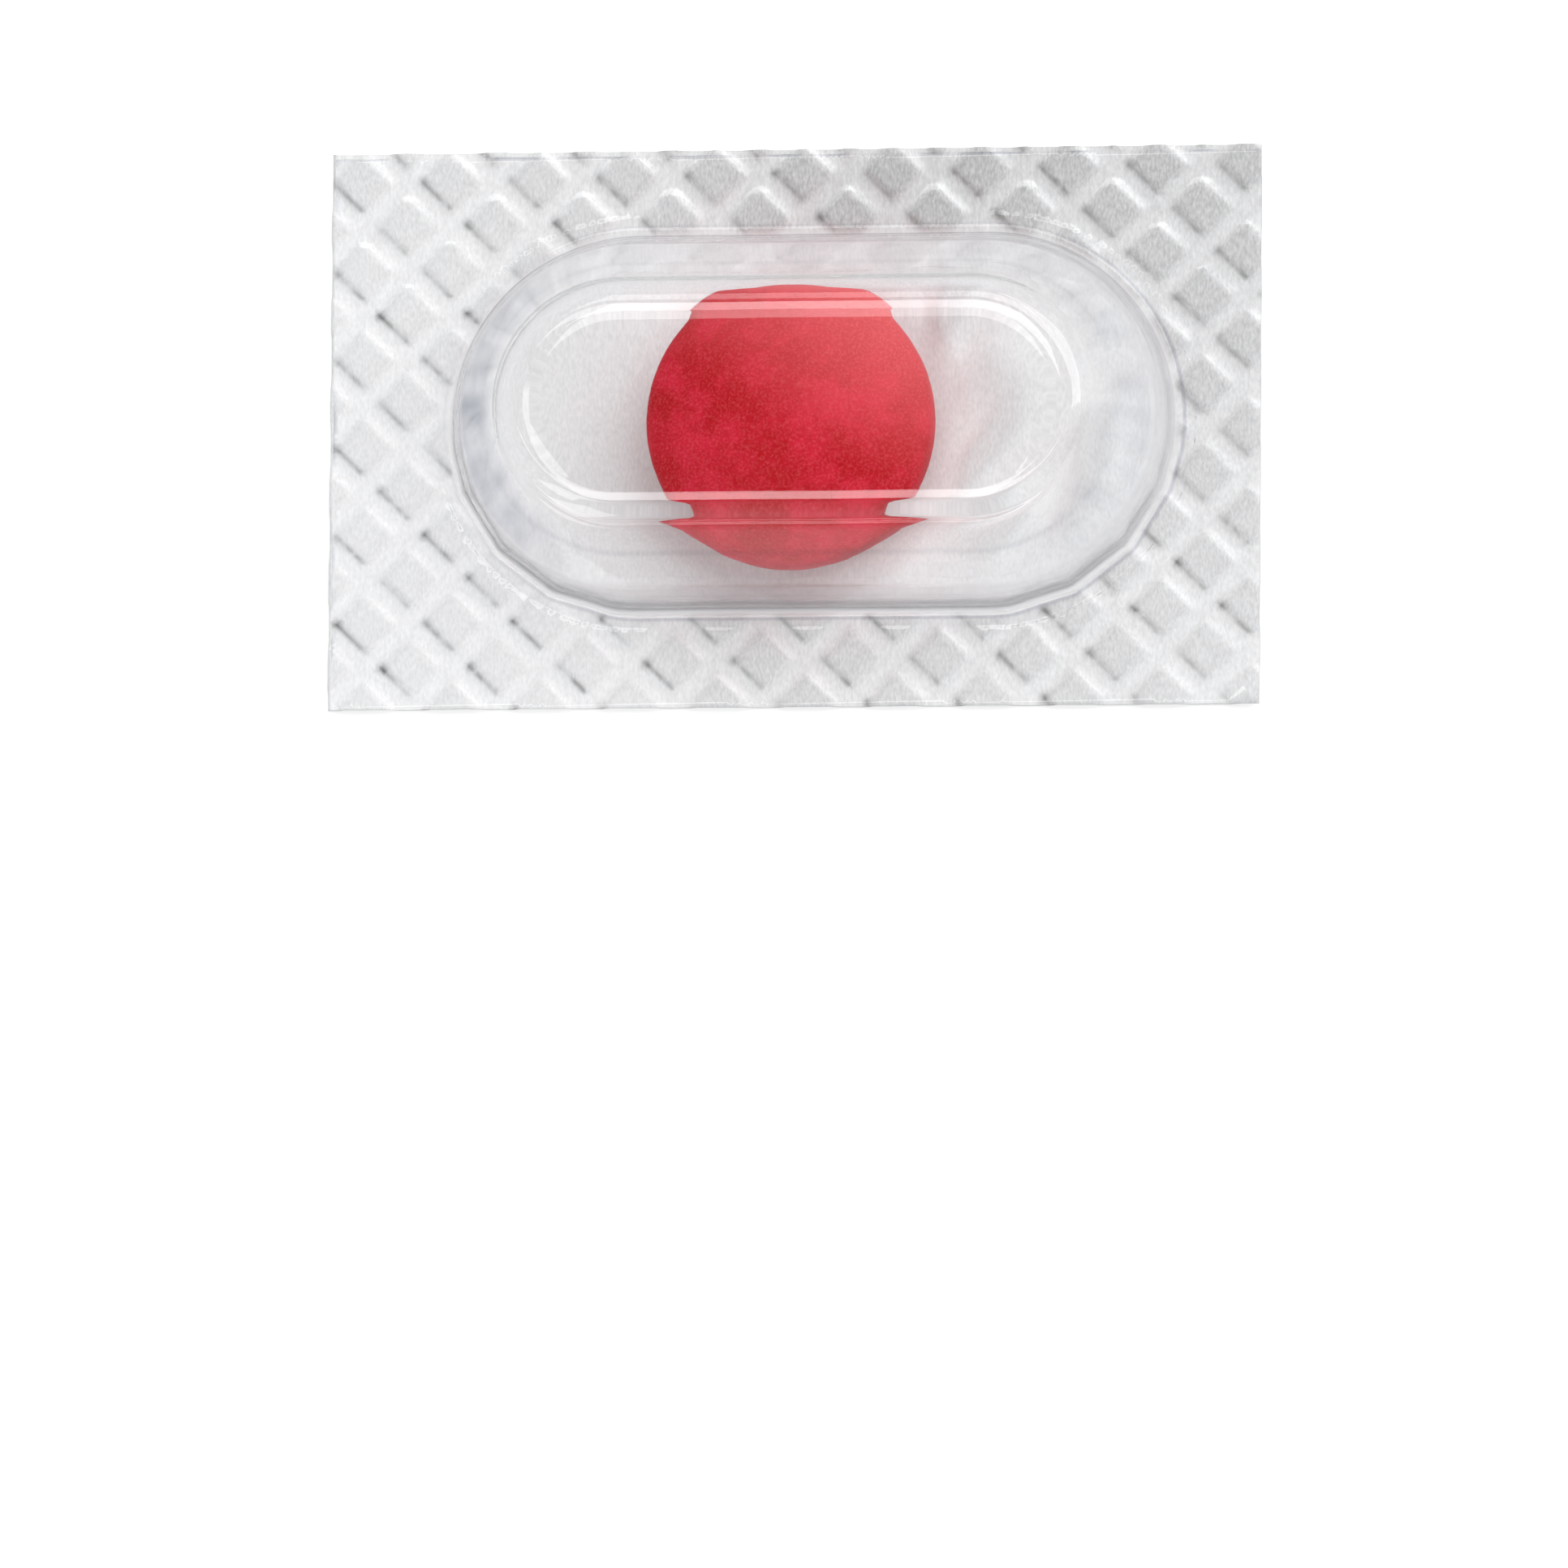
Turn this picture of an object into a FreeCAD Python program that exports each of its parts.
import FreeCAD
import Part
import math
import os

# A single-dose blister pack, in millimetres: one round tablet in a clear thermoformed pocket, heat-sealed
# to a paper-backed foil lidding. The pack lies on its back with the dome up. The origin is the middle of
# the outline on the underside of the lidding, +X runs along the pack and +Z points up out of the dome.

# Tablet: a narrow straight band between two spherical faces
tablet_diameter = 10.0
tablet_band = 1.2
tablet_cup = 1.7

# Room around the tablet, and how far it has slid from the middle of its pocket
side_play = 0.35
head_play = 1.45
slid_to_wall_gap = 0.05
slid_left = 0.5

# Sheets
lidding_thickness = 0.12
film_thickness = 0.25
dome_wall = 0.2

# Section of the dome, from its foot to its flat top
foot_radius = 0.3
riser_height = 1.3
riser_lean = math.radians(8)
shoulder_width = 0.15
wall_lean = math.radians(25)
crown_radius = 1.5

# Plan: the dome is a stadium, set off-centre in the flange
dome_straight = 12.1
margin_left = 4.05
margin_right = 2.63
margin_front = 3.09
margin_back = 2.72
film_short_left = 0.12
film_short_back = 0.18

# Diamond pads of the heat seal, pressed up from the back, with a plain band left around the dome
plain_band = 0.4
pad_side = 1.25
pad_pitch = 2.175
pad_slope = 0.25
pad_rise = 0.1
pad_rise_on_film = 0.06
pad_turn = math.radians(45.8)
first_pad_from_left = 2.67
first_pad_from_back = 2.55

# Heights
flange_bottom = lidding_thickness
flange_top = flange_bottom + film_thickness
tablet_height = tablet_band + 2 * tablet_cup
dome_top = flange_bottom + tablet_height + head_play + dome_wall
shoulder_z = flange_top + riser_height
band_top_z = flange_bottom + tablet_cup + tablet_band

# Half widths of the dome's outside, worked out from the tablet's widest level down to the foot
tablet_radius = tablet_diameter / 2
wall_at_band = tablet_radius + side_play + dome_wall / math.cos(wall_lean)
wall_foot = wall_at_band + (band_top_z - shoulder_z) * math.tan(wall_lean)
riser_top = wall_foot + shoulder_width
riser_foot = riser_top + riser_height * math.tan(riser_lean)
crown_corner = wall_foot - (dome_top - shoulder_z) * math.tan(wall_lean)
foot_turn = math.pi / 2 - riser_lean
dome_half_width = riser_foot + foot_radius * math.tan(foot_turn / 2)
seal_half_width = dome_half_width + plain_band
half_straight = dome_straight / 2

# Outline of the pack, and the middle of the dome in it
dome_length = dome_straight + 2 * dome_half_width
pack_length = margin_left + dome_length + margin_right
pack_width = margin_front + 2 * dome_half_width + margin_back
left = -pack_length / 2
right = pack_length / 2
front = -pack_width / 2
back = pack_width / 2
dome_x = (margin_left - margin_right) / 2
dome_y = (margin_front - margin_back) / 2


def point(across, height):
    """A point of the dome's section: how far out from the spine, and how high."""
    return FreeCAD.Vector(0, across, height)


def rounded_edges(corners, radii):
    """Straight runs through the corners, with an arc that fits its runs where a corner has a radius."""
    edges = []
    start = corners[0]
    for before, corner, after, radius in zip(corners, corners[1:], corners[2:], radii):
        if radius == 0:
            edges.append(Part.LineSegment(start, corner).toShape())
            start = corner
            continue
        back_way = (before - corner).normalize()
        on_way = (after - corner).normalize()
        turn = math.pi - back_way.getAngle(on_way)
        room = 0.45 * min((before - corner).Length, (after - corner).Length)
        reach = min(radius * math.tan(turn / 2), room)
        arc_start = corner + back_way * reach
        arc_end = corner + on_way * reach
        sagitta_way = (back_way + on_way).normalize()
        arc_radius = reach / math.tan(turn / 2)
        arc_middle = corner + sagitta_way * (arc_radius / math.cos(turn / 2) - arc_radius)
        edges.append(Part.LineSegment(start, arc_start).toShape())
        edges.append(Part.Arc(arc_start, arc_middle, arc_end).toShape())
        start = arc_end
    edges.append(Part.LineSegment(start, corners[-1]).toShape())
    return edges


def dome_section():
    """The film's section from the plain band in to the spine, as one closed face."""
    outside = [
        point(seal_half_width, flange_top),
        point(riser_foot, flange_top),
        point(riser_top, shoulder_z),
        point(wall_foot, shoulder_z),
        point(crown_corner, dome_top),
        point(0, dome_top),
    ]
    riser_shift = dome_wall / math.cos(riser_lean)
    wall_shift = dome_wall / math.cos(wall_lean)
    inner_shoulder_z = shoulder_z - dome_wall
    inside = [
        point(seal_half_width, flange_bottom),
        point(riser_foot + film_thickness * math.tan(riser_lean) - riser_shift, flange_bottom),
        point(riser_top + dome_wall * math.tan(riser_lean) - riser_shift, inner_shoulder_z),
        point(wall_foot + dome_wall * math.tan(wall_lean) - wall_shift, inner_shoulder_z),
        point(crown_corner + dome_wall * math.tan(wall_lean) - wall_shift, dome_top - dome_wall),
        point(0, dome_top - dome_wall),
    ]
    outer_edges = rounded_edges(outside, [foot_radius, 0, 0, crown_radius])
    inner_edges = rounded_edges(inside, [0, 0, 0, crown_radius - dome_wall])
    edges = outer_edges + inner_edges
    edges.append(Part.LineSegment(outside[0], inside[0]).toShape())
    edges.append(Part.LineSegment(outside[-1], inside[-1]).toShape())
    return Part.Face(Part.Wire(Part.__sortEdges__(edges)))


def dome_solid():
    """The section carried round the stadium: two half turns joined by the straight sides."""
    section = dome_section()
    across = section.mirror(FreeCAD.Vector(0, 0, 0), FreeCAD.Vector(0, 1, 0))
    up = FreeCAD.Vector(0, 0, 1)
    along = FreeCAD.Vector(dome_straight, 0, 0)
    to_left_end = FreeCAD.Vector(dome_x - half_straight, dome_y, 0)
    to_right_end = FreeCAD.Vector(dome_x + half_straight, dome_y, 0)
    left_end = section.revolve(FreeCAD.Vector(0, 0, 0), up, 180).translate(to_left_end)
    right_end = across.revolve(FreeCAD.Vector(0, 0, 0), up, 180).translate(to_right_end)
    back_side = section.extrude(along).translate(to_left_end)
    front_side = across.extrude(along).translate(to_left_end)
    return left_end.fuse([right_end, back_side, front_side]).removeSplitter()


def stadium_plug(half_width, low, high):
    """A plain upright solid with the dome's plan, grown or shrunk to the given half width."""
    left_end = FreeCAD.Vector(dome_x - half_straight, dome_y, low)
    right_end = FreeCAD.Vector(dome_x + half_straight, dome_y, low)
    height = high - low
    middle = Part.makeBox(dome_straight, 2 * half_width, height, left_end - FreeCAD.Vector(0, half_width, 0))
    ends = [Part.makeCylinder(half_width, height, end) for end in (left_end, right_end)]
    return middle.fuse(ends).removeSplitter()


def sheet(low, high, short_left=0, short_back=0):
    """A rectangle of sheet with the pack's outline, less what is cut short on two sides."""
    corner = FreeCAD.Vector(left + short_left, front, low)
    return Part.makeBox(right - left - short_left, back - short_back - front, high - low, corner)


def pad(rise):
    """One diamond pad: a low square with sloping sides, standing on the plane z = 0."""
    top = pad_side / 2
    base = top + pad_slope
    block = Part.makeWedge(-base, 0, -base, -top, -top, base, rise, base, top, top)
    block.rotate(FreeCAD.Vector(0, 0, 0), FreeCAD.Vector(1, 0, 0), 90)
    block.rotate(FreeCAD.Vector(0, 0, 0), FreeCAD.Vector(0, 0, 1), math.degrees(pad_turn))
    return block


def pad_centres():
    """Where the lattice of pads meets the pack, with one pad at the stated place from its corner."""
    row = FreeCAD.Vector(math.cos(pad_turn), math.sin(pad_turn), 0) * pad_pitch
    column = FreeCAD.Vector(-math.sin(pad_turn), math.cos(pad_turn), 0) * pad_pitch
    first = FreeCAD.Vector(left + first_pad_from_left, back - first_pad_from_back, 0)
    reach = pad_side / 2 + pad_slope
    steps = math.ceil((pack_length + pack_width) / pad_pitch)
    centres = []
    for i in range(-steps, steps + 1):
        for j in range(-steps, steps + 1):
            centre = first + row * i + column * j
            if left - reach < centre.x < right + reach and front - reach < centre.y < back + reach:
                centres.append(centre)
    return centres


def pads_on(level, rise, outline):
    """The pads that stand on a level, trimmed to the sealed part of the given sheet."""
    sealed = outline.cut(stadium_plug(seal_half_width, level, level + rise))
    blocks = []
    for centre in pad_centres():
        block = pad(rise)
        block.translate(FreeCAD.Vector(centre.x, centre.y, level))
        blocks.append(block)
    return Part.makeCompound(blocks).common(sealed).Solids


def film_sheet(low, high):
    return sheet(low, high, film_short_left, film_short_back)


def blister_film():
    """Flange and dome in one formed sheet, with the seal's pads standing through the flange."""
    flange = film_sheet(flange_bottom, flange_top)
    flange = flange.cut(stadium_plug(seal_half_width, flange_bottom, flange_top))
    raised = pads_on(flange_top, pad_rise_on_film, film_sheet(flange_top, flange_top + pad_rise_on_film))
    hollows = pads_on(flange_bottom, pad_rise, film_sheet(flange_bottom, flange_bottom + pad_rise))
    flange = flange.fuse(raised).cut(hollows)
    return flange.fuse(dome_solid()).removeSplitter()


def lidding():
    """The backing sheet, pressed up into the flange at every pad and flat across the pocket."""
    plain = sheet(0, lidding_thickness)
    raised = pads_on(lidding_thickness, pad_rise, film_sheet(lidding_thickness, lidding_thickness + pad_rise))
    hollows = pads_on(0, pad_rise, film_sheet(0, pad_rise))
    return plain.fuse(raised).cut(hollows).removeSplitter()


def tablet():
    """The tablet, lying flat on the lidding, slid to the left and against the front wall."""
    low = flange_bottom
    band_low = low + tablet_cup
    cup_sphere = (tablet_radius**2 + tablet_cup**2) / (2 * tablet_cup)
    half_angle = math.asin(tablet_radius / cup_sphere) / 2
    way_round = cup_sphere * math.sin(half_angle)
    way_in = cup_sphere * (1 - math.cos(half_angle))
    bottom = point(0, low)
    band_bottom = point(tablet_radius, band_low)
    band_top = point(tablet_radius, band_top_z)
    top = point(0, low + tablet_height)
    edges = [
        Part.Arc(bottom, point(way_round, low + way_in), band_bottom).toShape(),
        Part.LineSegment(band_bottom, band_top).toShape(),
        Part.Arc(band_top, point(way_round, low + tablet_height - way_in), top).toShape(),
        Part.LineSegment(top, bottom).toShape(),
    ]
    face = Part.Face(Part.Wire(edges))
    solid = face.revolve(FreeCAD.Vector(0, 0, 0), FreeCAD.Vector(0, 0, 1), 360)
    return solid.translate(FreeCAD.Vector(dome_x - slid_left, dome_y - side_play + slid_to_wall_gap, 0))


os.makedirs("parts", exist_ok=True)
pieces = {"blister_film": blister_film(), "lidding": lidding(), "tablet": tablet()}
for node, shape in pieces.items():
    shape.exportStep(f"parts/{node}.step")
    box = shape.BoundBox
    print(f"{node}: {len(shape.Solids)} solid, {len(shape.Faces)} faces, valid {shape.isValid()},")
    print(f"  {box.XLength:.2f} x {box.YLength:.2f} x {box.ZLength:.2f} mm, {shape.Volume:.2f} mm3")
